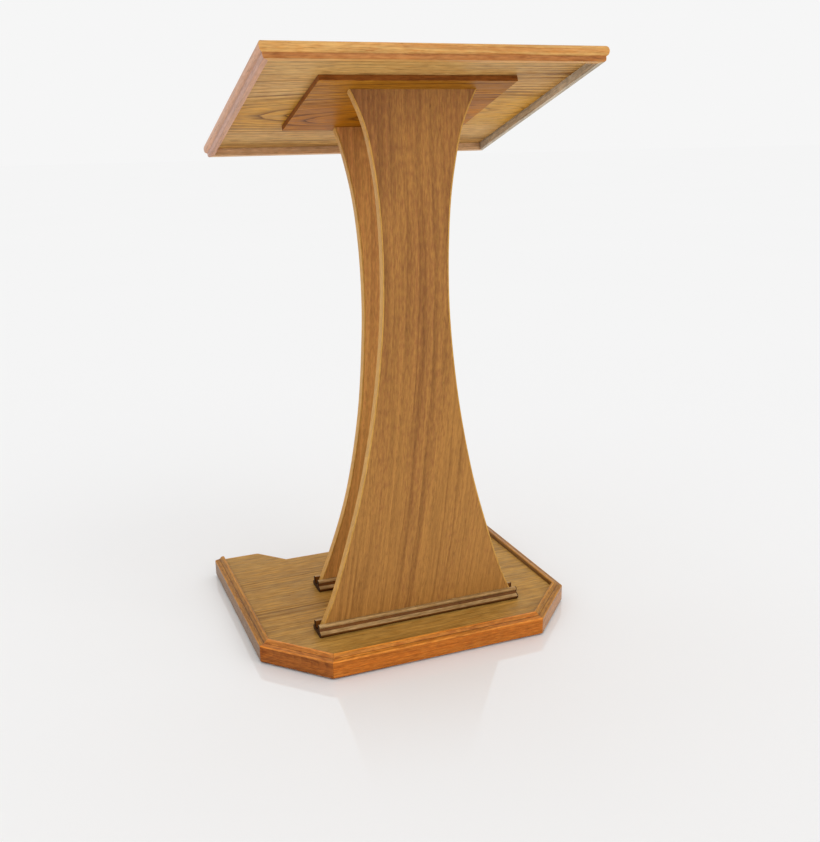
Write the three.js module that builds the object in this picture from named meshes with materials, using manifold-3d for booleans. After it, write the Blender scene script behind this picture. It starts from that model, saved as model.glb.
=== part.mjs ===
// A fixed wooden presentation lectern: a framed sloping desk on two hourglass
// panels, which stand in moulded shoe rails on a framed base with glides.
// Millimetres, +Z up. The audience is at -Y and the speaker at +Y. The origin is on the
// floor, under the middle of the whole lectern, from the desk's nose to the base's rear edge.

import * as THREE from 'three';
import { mergeVertices } from 'three/addons/utils/BufferGeometryUtils.js';
import Module from 'manifold-3d';

const wasm = await Module();
wasm.setup();

// ---- driving dimensions ----

const gap = 0.3; // clearance between pieces that touch

const baseWidth = 690;
const baseDepth = 564;
const baseCentreY = 13.8; // the desk reaches further forward than the base
const baseChamferX = 115; // chamfered front corners, measured along the front edge
const baseChamferY = 120; // and along the side edges
const baseBoardBottom = 13;
const baseBoardTop = 38;
const baseMouldingWidth = 24;
const baseMouldingBottom = 3;
const baseMouldingArris = 39; // height of the outer arris
const baseMouldingCrest = 46; // height of the raised inner bead
const notchMouthHalf = 242; // toe notch at the rear, half its width at the mouth
const notchFloorHalf = 187; // half its width at the bottom
const notchDepth = 60;
const baseLippingThickness = 3;

const glideRadius = 16;
const glideStemRadius = 3.5;
const glideStemLength = 14;

const panelThickness = 18;
const panelLipping = 3; // solid strip glued to each curved edge
const frontPanelFace = baseCentreY - 166; // Y of the front panel's front face
const rearPanelFace = baseCentreY + 34; // Y of the rear panel's front face
const frontPanelOutline = [ // height, half-width
  [38, 222], [110, 189], [230, 150.5], [350, 118], [500, 89.5], [650, 72.3],
  [770, 68], [880, 72], [960, 82], [1030, 97.5], [1088, 123], [1130, 149],
];
const rearPanelOutline = [
  [38, 163], [116, 131], [217, 96], [319, 71.5], [453, 50.5], [600, 39.5],
  [700, 37.8], [800, 42.5], [895, 54], [984, 75], [1038, 95], [1090, 124],
];

const railHeight = 23;
const railDepth = 16;
const railOverhang = 1; // the rails run just past the panel's foot at each end

const deskTilt = THREE.MathUtils.degToRad(18);
const deskHighEdge = { y: baseCentreY - 290, z: 1158 }; // high edge of the desk board's top face
const deskWidth = 604; // board only, without its mouldings
const deskLength = 508; // down the slope
const deskBoardThickness = 13;
const deskMouldingDepth = 28;
const deskMouldingWidth = 16.5;

const plateWidth = 382;
const plateLength = 270;
const plateStart = 98; // down the slope from the board's high edge
const plateThickness = 10;

const stopLength = 480; // ledge that keeps papers on the desk
const stopHeight = 14;
const stopWidth = 14;
const stopInset = 4; // from the board's low edge

const cleatHeight = 26;
const cleatWidth = 22;
const frontCleatHalf = 85;
const rearCleatHalf = 29;
const sideScrewRise = 10; // above the cleat's underside
const sideScrewLength = 32;
const upScrewRise = 2.5;
const upScrewLength = 44;
const upScrewSetback = 4; // leaves room for the sloping screw inside the desk board
const cleatHeadPocket = 8; // opens each upward screw's hole to the cleat's underside

// ---- materials ----

function finish(color, roughness, metalness = 0) {
  return () => new THREE.MeshStandardMaterial({ color, roughness, metalness });
}

const baseVeneer = finish(0xa57d41, 0.5);
const panelVeneer = finish(0xaa7337, 0.5);
const deskVeneer = finish(0xbe965a, 0.5);
const baseOak = finish(0xc07832, 0.45);
const deskOak = finish(0xc8944f, 0.45);
const shoeOak = finish(0x8a6436, 0.5);
const lippingOak = finish(0xc3965a, 0.5);
const hiddenTimber = finish(0xb08a58, 0.7);
const nylon = finish(0x2b2622, 0.6);
const zincSteel = finish(0xb9b7b0, 0.35, 1);

// ---- scene graph ----

const lectern = new THREE.Group();
lectern.name = 'lectern';

const deskFrame = new THREE.Group(); // +Y runs down the slope, +Z is square to the desk top
deskFrame.position.set(0, deskHighEdge.y, deskHighEdge.z);
deskFrame.rotation.x = -deskTilt;
lectern.add(deskFrame);
lectern.updateMatrixWorld(true);

function addPiece(name, geometry, makeMaterial, parent = lectern) {
  const mesh = new THREE.Mesh(geometry, makeMaterial());
  mesh.name = name;
  parent.add(mesh);
  return mesh;
}

// ---- solids ----

function toManifold(geometry) {
  const bare = geometry.clone();
  bare.deleteAttribute('normal');
  bare.deleteAttribute('uv');
  const merged = mergeVertices(bare, 1e-4);
  return new wasm.Manifold(new wasm.Mesh({
    numProp: 3,
    vertProperties: new Float32Array(merged.attributes.position.array),
    triVerts: new Uint32Array(merged.index.array),
  }));
}

function toGeometry(manifold) {
  const mesh = manifold.getMesh();
  const geometry = new THREE.BufferGeometry();
  geometry.setAttribute('position', new THREE.BufferAttribute(mesh.vertProperties, mesh.numProp));
  geometry.setIndex(new THREE.BufferAttribute(mesh.triVerts, 1));
  geometry.computeVertexNormals();
  return geometry;
}

function cut(geometry, cutters) {
  let solid = toManifold(geometry);
  for (const cutter of cutters) {
    solid = solid.subtract(toManifold(cutter));
  }
  return toGeometry(solid);
}

function slab(points, bottom, top) {
  const shape = new THREE.Shape(points.map(([x, y]) => new THREE.Vector2(x, y)));
  const geometry = new THREE.ExtrudeGeometry(shape, { depth: top - bottom, bevelEnabled: false });
  return geometry.translate(0, 0, bottom);
}

function block(low, high) {
  const size = high.map((value, i) => value - low[i]);
  const middle = high.map((value, i) => (value + low[i]) / 2);
  return new THREE.BoxGeometry(...size).translate(...middle);
}

// A length of moulding between two corners of an outline that runs anticlockwise.
// The profile's X is the distance inwards from the outline and its Y is height.
// Each turn is the outline's change of direction at that end, and sets the mitre.
function mouldingRun(profile, from, to, startTurn, endTurn, curveSegments = 6) {
  const along = new THREE.Vector3(to[0] - from[0], to[1] - from[1], 0);
  const length = along.length();
  along.normalize();
  const inward = new THREE.Vector3(-along.y, along.x, 0);
  const up = new THREE.Vector3(0, 0, 1);
  const options = { depth: length, bevelEnabled: false, curveSegments };
  const geometry = new THREE.ExtrudeGeometry(profile, options);
  const position = geometry.attributes.position;
  for (let i = 0; i < position.count; i++) {
    const depthIn = position.getX(i);
    const atStart = position.getZ(i) < length / 2;
    const start = gap / 2 + depthIn * Math.tan(startTurn / 2);
    const end = length - gap / 2 - depthIn * Math.tan(endTurn / 2);
    position.setZ(i, atStart ? start : end);
  }
  geometry.applyMatrix4(new THREE.Matrix4().makeBasis(inward, up, along));
  geometry.translate(from[0], from[1], 0);
  return geometry;
}

function turnBetween(a, b, c) {
  const before = Math.atan2(b[1] - a[1], b[0] - a[0]);
  const after = Math.atan2(c[1] - b[1], c[0] - b[0]);
  return Math.atan2(Math.sin(after - before), Math.cos(after - before));
}

// Corners of an open outline moved inwards, each edge by its own distance.
function insetOutline(points, distances) {
  const lines = distances.map((distance, i) => {
    const [x, y] = points[i];
    const along = new THREE.Vector2(points[i + 1][0] - x, points[i + 1][1] - y).normalize();
    const foot = new THREE.Vector2(x - along.y * distance, y + along.x * distance);
    return { foot, along };
  });
  return lines.slice(1).map((line, i) => {
    const previous = lines[i];
    const between = line.foot.clone().sub(previous.foot);
    const reach = between.cross(line.along) / previous.along.cross(line.along);
    return previous.foot.clone().addScaledVector(previous.along, reach).toArray();
  });
}

// ---- screws ----

const screwHeadRadius = 4.6;
const screwShankRadius = 2.6;

// A countersunk wood screw whose head is at its origin and whose point is at -Z.
// The cutter is the same shape with clearance all round and an open head pocket.
function screwProfile(length, clearance, pocket) {
  const head = screwHeadRadius + clearance;
  const shank = screwShankRadius + clearance;
  const tip = 0.8 + clearance;
  const tipLength = 5;
  return [
    [0, -length - clearance],
    [tip, -length - clearance],
    [shank, -length + tipLength],
    [shank, -4],
    [head, -1],
    [head, pocket],
    [0, pocket],
  ].map(([x, y]) => new THREE.Vector2(x, y));
}

function screwGeometry(length, clearance, pocket) {
  return new THREE.LatheGeometry(screwProfile(length, clearance, pocket), 12).rotateX(Math.PI / 2);
}

function placeScrew(geometry, head, direction) {
  const turn = new THREE.Quaternion().setFromUnitVectors(new THREE.Vector3(0, 0, -1), direction);
  return geometry.applyQuaternion(turn).translate(head.x, head.y, head.z);
}

function addScrew(name, length, head, direction, pocket) {
  addPiece(name, placeScrew(screwGeometry(length, 0, 0), head, direction), zincSteel);
  return placeScrew(screwGeometry(length, gap, pocket), head, direction);
}

const upwards = new THREE.Vector3(0, 0, 1);
const headDepth = 1; // each head is sunk this far below its surface
const headPocket = 4;
const baseScrewHead = baseBoardBottom + headDepth;
const baseScrewLength = 62;

function baseScrews(prefix, places, y) {
  return places.map((x, i) => {
    const head = new THREE.Vector3(x, y, baseScrewHead);
    return addScrew(`${prefix}_${i + 1}`, baseScrewLength, head, upwards, headPocket);
  });
}

const frontBaseCutters = baseScrews('front_panel_screw', [-130, 0, 130], frontPanelFace + panelThickness / 2);
const rearBaseCutters = baseScrews('rear_panel_screw', [-95, 95], rearPanelFace + panelThickness / 2);

// ---- base: veneered board, framed by mouldings at the front and sides ----

const halfWidth = baseWidth / 2;
const rearY = baseCentreY + baseDepth / 2;
const frontY = baseCentreY - baseDepth / 2;
const baseOutline = [
  [-halfWidth, rearY],
  [-halfWidth, frontY + baseChamferY],
  [-halfWidth + baseChamferX, frontY],
  [halfWidth - baseChamferX, frontY],
  [halfWidth, frontY + baseChamferY],
  [halfWidth, rearY],
];

function baseMouldingProfile() {
  const shape = new THREE.Shape();
  const arrisRadius = 2.5;
  shape.moveTo(0, baseMouldingBottom);
  shape.lineTo(baseMouldingWidth, baseMouldingBottom);
  shape.lineTo(baseMouldingWidth, baseBoardTop + 0.5);
  shape.lineTo(21.5, baseMouldingCrest - 1.2);
  shape.quadraticCurveTo(21, baseMouldingCrest, 19.5, baseMouldingCrest);
  shape.lineTo(18, baseMouldingCrest);
  shape.quadraticCurveTo(14.5, baseMouldingCrest - 0.5, 12.5, baseMouldingCrest - 3.4);
  shape.quadraticCurveTo(11.5, baseMouldingArris + 1.4, 9.5, baseMouldingArris + 1);
  shape.lineTo(arrisRadius, baseMouldingArris);
  shape.quadraticCurveTo(0, baseMouldingArris, 0, baseMouldingArris - arrisRadius);
  shape.closePath();
  return shape;
}

const baseMouldingNames = [
  'base_moulding_left',
  'base_moulding_left_chamfer',
  'base_moulding_front',
  'base_moulding_right_chamfer',
  'base_moulding_right',
];
const baseProfile = baseMouldingProfile();
baseMouldingNames.forEach((name, i) => {
  const from = baseOutline[i];
  const to = baseOutline[i + 1];
  const startTurn = i > 0 ? turnBetween(baseOutline[i - 1], from, to) : 0;
  const endTurn = i < baseMouldingNames.length - 1 ? turnBetween(from, to, baseOutline[i + 2]) : 0;
  addPiece(name, mouldingRun(baseProfile, from, to, startTurn, endTurn), baseOak);
});

const rearInner = halfWidth - baseMouldingWidth - gap / 2;
const rearOutline = [
  [rearInner, rearY],
  [notchMouthHalf, rearY],
  [notchFloorHalf, rearY - notchDepth],
  [-notchFloorHalf, rearY - notchDepth],
  [-notchMouthHalf, rearY],
  [-rearInner, rearY],
];
const lippingProfile = new THREE.Shape([
  new THREE.Vector2(0, baseBoardBottom),
  new THREE.Vector2(baseLippingThickness, baseBoardBottom),
  new THREE.Vector2(baseLippingThickness, baseBoardTop),
  new THREE.Vector2(0, baseBoardTop),
]);
const rearLippingNames = [
  'base_rear_lipping_right',
  'notch_lipping_right',
  'notch_lipping_middle',
  'notch_lipping_left',
  'base_rear_lipping_left',
];
rearLippingNames.forEach((name, i) => {
  const from = rearOutline[i];
  const to = rearOutline[i + 1];
  const startTurn = i > 0 ? turnBetween(rearOutline[i - 1], from, to) : 0;
  const endTurn = i < rearLippingNames.length - 1 ? turnBetween(from, to, rearOutline[i + 2]) : 0;
  addPiece(name, mouldingRun(lippingProfile, from, to, startTurn, endTurn), lippingOak);
});

const boardInset = baseMouldingWidth + gap;
const lippingInset = baseLippingThickness + gap;
const boardRing = [...baseOutline, ...rearOutline.slice(1, -1), baseOutline[0], baseOutline[1]];
const boardInsets = [
  boardInset, boardInset, boardInset, boardInset, boardInset,
  lippingInset, lippingInset, lippingInset, lippingInset, lippingInset,
  boardInset,
];
const baseBoardOutline = insetOutline(boardRing, boardInsets);

const glidePlaces = [
  [-295, rearY - 42], [295, rearY - 42],
  [-295, frontY + 162], [295, frontY + 162],
  [-190, frontY + 50], [190, frontY + 50],
];

function glideProfile(clearance) {
  const stem = glideStemRadius + clearance;
  const stemTop = baseBoardBottom + glideStemLength + clearance;
  const body = baseBoardBottom - gap + clearance * 2;
  return [
    [0, 0], [glideRadius - 4, 0], [glideRadius - 1.5, 1.2], [glideRadius, 4],
    [glideRadius, body], [stem, body], [stem, stemTop], [0, stemTop],
  ].map(([x, y]) => new THREE.Vector2(x, y));
}

const glideCutters = glidePlaces.map(([x, y], i) => {
  const glide = new THREE.LatheGeometry(glideProfile(0), 20).rotateX(Math.PI / 2);
  addPiece(`glide_${i + 1}`, glide.translate(x, y, 0), nylon);
  const top = baseBoardBottom + glideStemLength + gap;
  const hole = new THREE.CylinderGeometry(glideStemRadius + gap, glideStemRadius + gap, top, 12);
  return hole.rotateX(Math.PI / 2).translate(x, y, top / 2);
});

const baseBoard = cut(
  slab(baseBoardOutline, baseBoardBottom, baseBoardTop),
  [...glideCutters, ...frontBaseCutters, ...rearBaseCutters],
);
addPiece('base_board', baseBoard, baseVeneer);

// ---- hourglass panels, each a veneered board with a solid strip on its curved edges ----

const plateUnderside = -deskBoardThickness - gap - plateThickness; // height in the desk's frame
const cutterReach = 1200;

// Everything that lies above the plane at this height in the desk's frame.
function aboveDeskPlane(height) {
  const box = block([-cutterReach, -cutterReach, height], [cutterReach, cutterReach, height + 400]);
  return box.applyMatrix4(deskFrame.matrixWorld);
}

function panelEdge(outline) {
  const spline = new THREE.SplineCurve(outline.map(([z, half]) => new THREE.Vector2(half, z)));
  const steps = 60;
  const samples = Array.from({ length: steps + 1 }, (_, i) => i / steps);
  return (inset) => samples.map((t) => {
    const point = spline.getPoint(t);
    const tangent = spline.getTangent(t);
    return new THREE.Vector2(point.x - tangent.y * inset, point.y + tangent.x * inset);
  });
}

function uprightPrism(points, face) {
  const shape = new THREE.Shape(points);
  const options = { depth: panelThickness, bevelEnabled: false };
  const geometry = new THREE.ExtrudeGeometry(shape, options);
  return geometry.rotateX(Math.PI / 2).translate(0, face + panelThickness, 0);
}

function trimmedUpright(points, face, cutters) {
  const foot = block([-cutterReach, -cutterReach, -100], [cutterReach, cutterReach, baseBoardTop + gap]);
  return cut(uprightPrism(points, face), [foot, aboveDeskPlane(plateUnderside - gap), ...cutters]);
}

function addPanel(prefix, outline, face, cutters) {
  const edgeAt = panelEdge(outline);
  const outer = edgeAt(0);
  const lippingInner = edgeAt(panelLipping);
  const boardEdge = edgeAt(panelLipping + gap);
  const mirrored = (points) => points.map((p) => new THREE.Vector2(-p.x, p.y));
  const board = [...boardEdge, ...mirrored(boardEdge).reverse()];
  const strip = [...outer, ...[...lippingInner].reverse()];
  addPiece(`${prefix}_panel`, trimmedUpright(board, face, cutters), panelVeneer);
  addPiece(`${prefix}_panel_lipping_right`, trimmedUpright(strip, face, []), lippingOak);
  const leftStrip = mirrored(strip).reverse();
  addPiece(`${prefix}_panel_lipping_left`, trimmedUpright(leftStrip, face, []), lippingOak);
}

// ---- cleats that tie the panels' tops to the plate and the desk board ----

const intoDesk = new THREE.Vector3(0, Math.sin(deskTilt), Math.cos(deskTilt));
const intoFront = new THREE.Vector3(0, -1, 0);
const intoRear = new THREE.Vector3(0, 1, 0);

// Height of the plate's underside above a place on the floor.
function plateUndersideZ(y) {
  const slope = Math.tan(deskTilt);
  return deskHighEdge.z - (y - deskHighEdge.y) * slope + (plateUnderside - gap) / Math.cos(deskTilt);
}

function addCleat(prefix, half, nearY, farY, sideScrewPlaces, upScrewPlaces, intoPanel) {
  const middleY = (nearY + farY) / 2;
  const lowTop = plateUndersideZ(farY);
  const bottom = lowTop - cleatHeight;
  const headY = intoPanel.y < 0 ? farY - headDepth : nearY + headDepth;
  const sideCutters = sideScrewPlaces.map((x, i) => {
    const head = new THREE.Vector3(x, headY, bottom + sideScrewRise);
    return addScrew(`${prefix}_cleat_side_screw_${i + 1}`, sideScrewLength, head, intoPanel, headPocket);
  });
  const upCutters = upScrewPlaces.map((x, i) => {
    const head = new THREE.Vector3(x, middleY - upScrewSetback, bottom + upScrewRise);
    return addScrew(`${prefix}_cleat_up_screw_${i + 1}`, upScrewLength, head, intoDesk, cleatHeadPocket);
  });
  const body = block([-half, nearY, bottom], [half, farY, bottom + cleatHeight * 2]);
  const cutters = [aboveDeskPlane(plateUnderside - gap), ...sideCutters, ...upCutters];
  addPiece(`${prefix}_cleat`, cut(body, cutters), hiddenTimber);
  return { sideCutters, upCutters };
}

const frontPanelBack = frontPanelFace + panelThickness;
const frontCleat = addCleat(
  'front', frontCleatHalf, frontPanelBack + gap, frontPanelBack + gap + cleatWidth,
  [-60, 60], [-75, 0, 75], intoFront,
);
const rearCleat = addCleat(
  'rear', rearCleatHalf, rearPanelFace - gap - cleatWidth, rearPanelFace - gap,
  [-21, 21], [-7, 7], intoRear,
);

addPanel('front', frontPanelOutline, frontPanelFace, [...frontBaseCutters, ...frontCleat.sideCutters]);
addPanel('rear', rearPanelOutline, rearPanelFace, [...rearBaseCutters, ...rearCleat.sideCutters]);

// ---- shoe rails along both faces of each panel's foot ----

function railProfile() {
  const shape = new THREE.Shape();
  shape.moveTo(0, 0);
  shape.lineTo(railDepth - 3, 0);
  shape.lineTo(railDepth - 3, 2.5);
  shape.quadraticCurveTo(railDepth, 3, railDepth, 6);
  shape.quadraticCurveTo(railDepth, 9, railDepth - 4, 9.4);
  shape.lineTo(railDepth - 5, 10.6);
  shape.quadraticCurveTo(6.5, 11.5, 5.5, 16);
  shape.lineTo(5.5, 16.8);
  shape.quadraticCurveTo(8, 17.6, 7.6, 20);
  shape.quadraticCurveTo(7, railHeight, 3.5, railHeight);
  shape.lineTo(0, railHeight);
  shape.closePath();
  return shape;
}

const railShape = railProfile();

function addRail(name, half, face, side) {
  const options = { depth: half * 2, bevelEnabled: false, curveSegments: 5 };
  const geometry = new THREE.ExtrudeGeometry(railShape, options);
  const out = new THREE.Vector3(0, side, 0);
  const up = new THREE.Vector3(0, 0, 1);
  const along = new THREE.Vector3().crossVectors(out, up);
  geometry.applyMatrix4(new THREE.Matrix4().makeBasis(out, up, along));
  geometry.translate(-half * along.x, face + side * gap, baseBoardTop + gap);
  addPiece(name, geometry, shoeOak);
}

const frontRailHalf = frontPanelOutline[0][1] + railOverhang;
const rearRailHalf = rearPanelOutline[0][1] + railOverhang;
addRail('front_panel_rail_front', frontRailHalf, frontPanelFace, -1);
addRail('front_panel_rail_rear', frontRailHalf, frontPanelFace + panelThickness, 1);
addRail('rear_panel_rail_front', rearRailHalf, rearPanelFace, -1);
addRail('rear_panel_rail_rear', rearRailHalf, rearPanelFace + panelThickness, 1);

// ---- desk: veneered board, four mitred mouldings, paper stop, mounting plate ----

const toDesk = deskFrame.matrixWorld.clone().invert();
const inDeskFrame = (geometry) => geometry.clone().applyMatrix4(toDesk);
const upCuttersInDesk = [...frontCleat.upCutters, ...rearCleat.upCutters].map(inDeskFrame);
const deskHalf = deskWidth / 2;

const deskBoard = cut(
  block([-deskHalf + gap, gap, -deskBoardThickness], [deskHalf - gap, deskLength - gap, 0]),
  upCuttersInDesk,
);
addPiece('desk_board', deskBoard, deskVeneer, deskFrame);

const plateTop = -deskBoardThickness - gap;
const mountingPlate = cut(
  block([-plateWidth / 2, plateStart, plateUnderside], [plateWidth / 2, plateStart + plateLength, plateTop]),
  upCuttersInDesk,
);
addPiece('mounting_plate', mountingPlate, deskVeneer, deskFrame);

// The profile lies outside the board's edge, so its X values are negative.
function deskMouldingProfile() {
  const shape = new THREE.Shape();
  const nose = deskMouldingWidth;
  const bead = nose - 5.5;
  shape.moveTo(0, 0);
  shape.lineTo(-8, 0);
  shape.quadraticCurveTo(-nose, -0.4, -nose, -9.5);
  shape.quadraticCurveTo(-nose, -18, -bead - 0.6, -19);
  shape.lineTo(-bead, -19.6);
  shape.quadraticCurveTo(-bead - 0.6, -24, -bead + 0.6, -26.4);
  shape.quadraticCurveTo(-bead + 1.2, -deskMouldingDepth, -bead + 3, -deskMouldingDepth);
  shape.lineTo(0, -deskMouldingDepth);
  shape.closePath();
  return shape;
}

const deskOutline = [
  [-deskHalf, deskLength], [-deskHalf, 0], [deskHalf, 0], [deskHalf, deskLength],
];
const deskMouldingNames = [
  'desk_moulding_left', 'desk_moulding_high', 'desk_moulding_right', 'desk_moulding_low',
];
const deskProfile = deskMouldingProfile();
const rightAngle = Math.PI / 2;
deskMouldingNames.forEach((name, i) => {
  const from = deskOutline[i];
  const to = deskOutline[(i + 1) % deskOutline.length];
  const run = mouldingRun(deskProfile, from, to, rightAngle, rightAngle, 8);
  addPiece(name, run, deskOak, deskFrame);
});

function stopProfile() {
  const shape = new THREE.Shape();
  const roundOver = 5;
  shape.moveTo(0, 0);
  shape.lineTo(stopWidth, 0);
  shape.lineTo(stopWidth, stopHeight - roundOver);
  shape.quadraticCurveTo(stopWidth, stopHeight, stopWidth - roundOver, stopHeight);
  shape.lineTo(roundOver, stopHeight);
  shape.quadraticCurveTo(0, stopHeight, 0, stopHeight - roundOver);
  shape.closePath();
  return shape;
}

const stopOptions = { depth: stopLength, bevelEnabled: false, curveSegments: 6 };
const paperStop = new THREE.ExtrudeGeometry(stopProfile(), stopOptions);
paperStop.rotateX(Math.PI / 2).rotateZ(Math.PI / 2);
paperStop.translate(-stopLength / 2, deskLength - stopInset - stopWidth, gap);
addPiece('paper_stop', paperStop, deskOak, deskFrame);

export default lectern;
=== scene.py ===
# A wooden presentation lectern: a framed sloping desk on two hourglass panels, which
# stand in moulded shoe rails on a framed base. Metres, +Z up, the audience at -Y.

import math
from functools import partial

import bmesh
import bpy
from mathutils import Matrix, Vector


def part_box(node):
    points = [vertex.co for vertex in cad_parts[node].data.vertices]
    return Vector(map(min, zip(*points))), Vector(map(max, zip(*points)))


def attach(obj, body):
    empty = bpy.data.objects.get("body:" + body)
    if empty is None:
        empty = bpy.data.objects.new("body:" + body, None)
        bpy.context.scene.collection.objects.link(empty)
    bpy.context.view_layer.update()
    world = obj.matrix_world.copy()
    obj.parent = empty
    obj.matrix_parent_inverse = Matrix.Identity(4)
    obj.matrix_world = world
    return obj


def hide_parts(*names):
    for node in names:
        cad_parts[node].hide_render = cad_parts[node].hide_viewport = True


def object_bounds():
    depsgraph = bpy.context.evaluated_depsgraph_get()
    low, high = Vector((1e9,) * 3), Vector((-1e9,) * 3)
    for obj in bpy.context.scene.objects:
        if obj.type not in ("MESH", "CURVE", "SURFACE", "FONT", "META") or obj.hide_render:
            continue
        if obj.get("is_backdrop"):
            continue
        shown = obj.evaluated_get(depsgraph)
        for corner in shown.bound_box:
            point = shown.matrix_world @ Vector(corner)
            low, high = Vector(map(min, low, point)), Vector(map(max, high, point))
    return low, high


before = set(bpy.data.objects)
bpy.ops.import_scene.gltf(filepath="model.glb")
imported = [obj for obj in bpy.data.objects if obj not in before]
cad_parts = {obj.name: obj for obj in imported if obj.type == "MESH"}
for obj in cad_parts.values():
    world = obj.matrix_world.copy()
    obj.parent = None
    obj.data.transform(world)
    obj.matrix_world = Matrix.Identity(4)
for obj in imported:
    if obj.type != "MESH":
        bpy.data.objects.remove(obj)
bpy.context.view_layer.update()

# ---- base board ----
# A 25 mm core board faced with oak veneer, its grain running left to right. It is cut
# to the octagon that the mouldings frame, with a toe notch at the back, and its arrises
# are sanded by hand before the satin lacquer goes on.

LEFT_TO_RIGHT = Vector((1, 0, 0))
FRONT_TO_BACK = Vector((0, 1, 0))
UPRIGHT = Vector((0, 0, 1))


def eased(node, radius, segments=2):
    """The CAD solid's own shape, with its sharp arrises sanded round."""
    flat, sharpest_left = math.radians(0.1), math.radians(28)
    shape = bmesh.new()
    shape.from_mesh(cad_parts[node].data)
    bmesh.ops.remove_doubles(shape, verts=shape.verts, dist=1e-6)
    bmesh.ops.dissolve_limit(
        shape, angle_limit=flat, verts=shape.verts, edges=shape.edges
    )
    sharp = [edge for edge in shape.edges if edge.calc_face_angle(0) > sharpest_left]
    bmesh.ops.bevel(
        shape, geom=sharp, offset=radius, segments=segments, profile=0.5,
        affect="EDGES", clamp_overlap=True,
    )
    return shape


def fitted(name, shape, finishes, slot, *nodes):
    """Makes the shape a piece of the lectern that stands for these CAD nodes."""
    crease = math.radians(38)
    bmesh.ops.recalc_face_normals(shape, faces=shape.faces)
    mesh = bpy.data.meshes.new(name)
    shape.to_mesh(mesh)
    shape.free()
    mesh.shade_smooth()
    mesh.set_sharp_from_angle(angle=crease)
    for finish in finishes:
        mesh.materials.append(finish)
    piece = bpy.data.objects.new(name, mesh)
    bpy.context.scene.collection.objects.link(piece)
    even = piece.modifiers.new("even_shading", "WEIGHTED_NORMAL")
    even.keep_sharp = True
    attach(piece, "root")
    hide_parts(*nodes)
    return piece


def place(tree, kind, inputs=None, **settings):
    """Adds one node. An input takes a value, or the socket that feeds it."""
    prefix = "" if kind.startswith("NodeGroup") else "ShaderNode"
    node = tree.nodes.new(prefix + kind)
    for key, value in settings.items():
        setattr(node, key, value)
    for key, value in (inputs or {}).items():
        if isinstance(value, bpy.types.NodeSocket):
            tree.links.new(value, node.inputs[key])
        else:
            node.inputs[key].default_value = value
    return node


def reckon(tree, operation, *terms):
    """Does one sum on values that change over the surface."""
    return place(tree, "Math", dict(enumerate(terms)), operation=operation).outputs[0]


def stretched_noise(tree, where, stretch, detail=2.0, roughness=0.5):
    """Noise over a place in metres, with its own number of waves a metre each way."""
    scaled = place(tree, "VectorMath", {0: where, 1: stretch}, operation="MULTIPLY")
    inputs = {
        "Vector": scaled.outputs[0], "Scale": 1.0,
        "Detail": detail, "Roughness": roughness,
    }
    return place(tree, "TexNoise", inputs).outputs


def between(tree, value, low, high, to_low=0.0, to_high=1.0):
    """The value, eased from one level to another as it goes from low to high."""
    inputs = {
        "Value": value, "From Min": low, "From Max": high,
        "To Min": to_low, "To Max": to_high,
    }
    return place(tree, "MapRange", inputs, interpolation_type="SMOOTHSTEP").outputs[0]


def new_group(name, inputs, outputs):
    """An empty node group with these sockets, and its input and output nodes."""
    tree = bpy.data.node_groups.new(name, "ShaderNodeTree")
    for label, value in inputs.items():
        kind = "Float" if isinstance(value, (int, float)) else "Color"
        kind = "Vector" if value is None else kind
        socket = tree.interface.new_socket(
            name=label, in_out="INPUT", socket_type="NodeSocket" + kind
        )
        if value is not None:
            socket.default_value = value
    for label, kind in outputs.items():
        tree.interface.new_socket(
            name=label, in_out="OUTPUT", socket_type="NodeSocket" + kind
        )
    return tree, place(tree, "NodeGroupInput").outputs, place(tree, "NodeGroupOutput").inputs


# Where the saw has passed through the growth rings: X runs across the face, Y out of it
# and Z along the grain, so a pith far to the side gives straight grain, and one close to
# the face gives cathedral arches. Bend sweeps the grain aside below the origin, and Fade
# makes the sheet paler that way.
oak_grain, got, gives = new_group(
    "Oak Grain",
    {"Place": None, "Ring Width": 0.004, "Pith Side": 0.3, "Pith Depth": 0.02,
     "Lean": 0.0, "Waver": 0.02, "Heart Reach": 0.02, "Bend": 0.0, "Fade": 0.0},
    {"Rings": "Float", "Fibre": "Float", "Pores": "Float", "Bands": "Float", "Heart": "Float"},
)
grain_math = partial(reckon, oak_grain)
grain_noise = partial(stretched_noise, oak_grain)
# Waves a metre across the face, into the board and along the grain, the broadest first.
slow_drift, broad_waves, strength_waves = (5, 5, 1.3), (16, 16, 1.6), (18, 18, 2.4)
ragged_waves, streak_waves, mottle_waves = (120, 120, 12), (150, 150, 5), (210, 210, 60)
tick_waves, dash_waves, pore_waves = (380, 380, 40), (450, 450, 50), (1500, 1500, 70)

at = place(oak_grain, "SeparateXYZ", {0: got["Place"]}).outputs
below = grain_math("MINIMUM", at[2], 0.0)
swept = grain_math("MULTIPLY", grain_math("MULTIPLY", below, below), got["Bend"])
swept = grain_math("SUBTRACT", at[0], swept)
spot = place(oak_grain, "CombineXYZ", {0: swept, 1: at[1], 2: at[2]}).outputs[0]

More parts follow.
